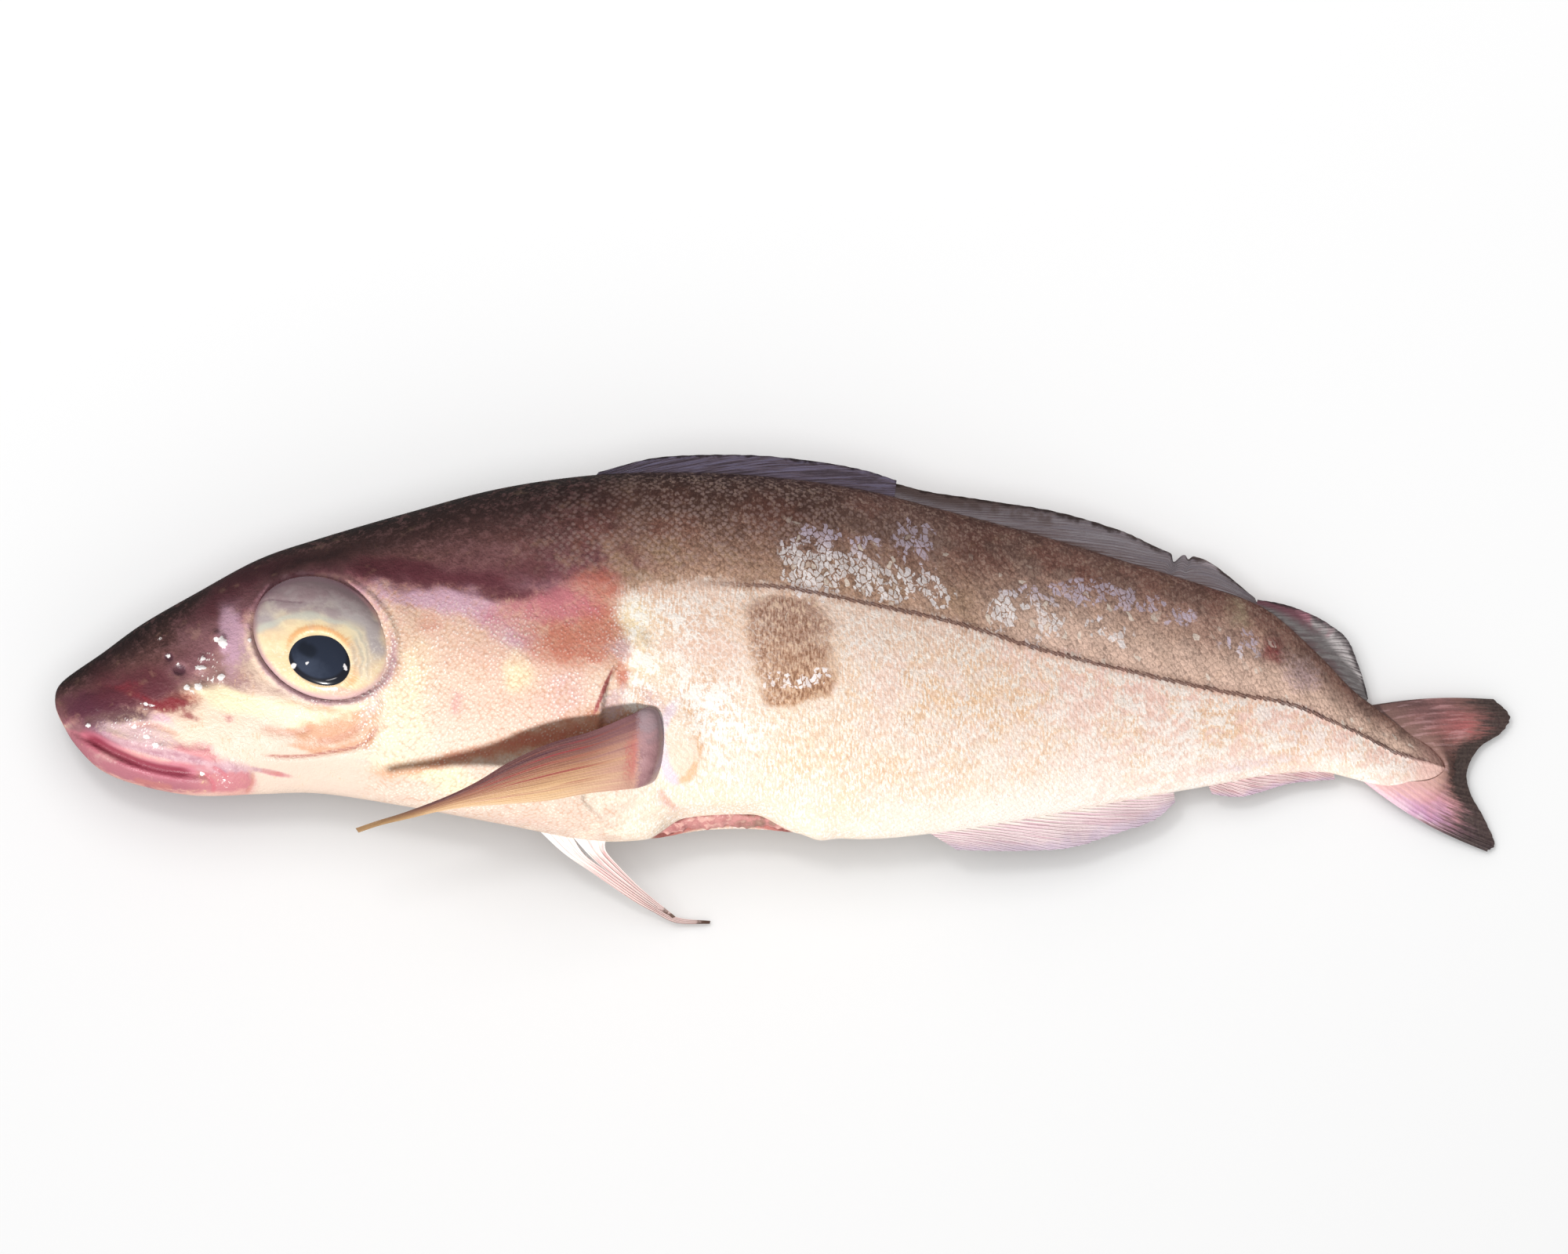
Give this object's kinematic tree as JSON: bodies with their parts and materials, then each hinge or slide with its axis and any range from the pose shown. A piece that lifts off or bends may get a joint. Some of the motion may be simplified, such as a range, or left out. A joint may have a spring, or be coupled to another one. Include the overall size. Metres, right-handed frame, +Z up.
{
  "type": "whole fresh haddock, gutted, not smoked",
  "caption": "Whole fresh gutted haddock lying on its right side: dark back, pale scaly flank, large eye, slit belly, notched tail, side fin flipped forward over the cheek.",
  "frame": {"origin": "centre of the bounding box's underside, on the counter that the fish lies on", "axes": "+X from the snout to the tail, +Y towards the back, +Z up out of the shown left flank"},
  "size_m": [0.4022, 0.1302, 0.0615],
  "materials": {
    "skin": "wet fish skin: near-black brown back, tan flank with fine scales, creamy pink belly",
    "dark_fin": "wet, grey-brown translucent fin with dark margin",
    "pale_fin": "wet, white to pink-lilac fin",
    "amber_fin": "wet, golden-tan rays with a dark purple leading edge",
    "iris": "wet, pearly gold and grey-lilac",
    "pupil": "wet, clear dark blue-grey",
    "flesh": "wet pink flesh"
  },
  "bodies": {
    "root": {"body": "skin", "eye_left": "iris", "eye_right": "iris", "pupil_left": "pupil", "pupil_right": "pupil", "dorsal_fin_first": "dark_fin", "dorsal_fin_second": "dark_fin", "dorsal_fin_third": "dark_fin", "anal_fin_first": "pale_fin", "anal_fin_second": "pale_fin", "tail_fin": "dark_fin", "pectoral_fin_left": "amber_fin", "pectoral_fin_right": "amber_fin", "pelvic_fin_left": "pale_fin", "pelvic_fin_right": "pale_fin", "belly_lining": "flesh"}
  },
  "joints": []
}
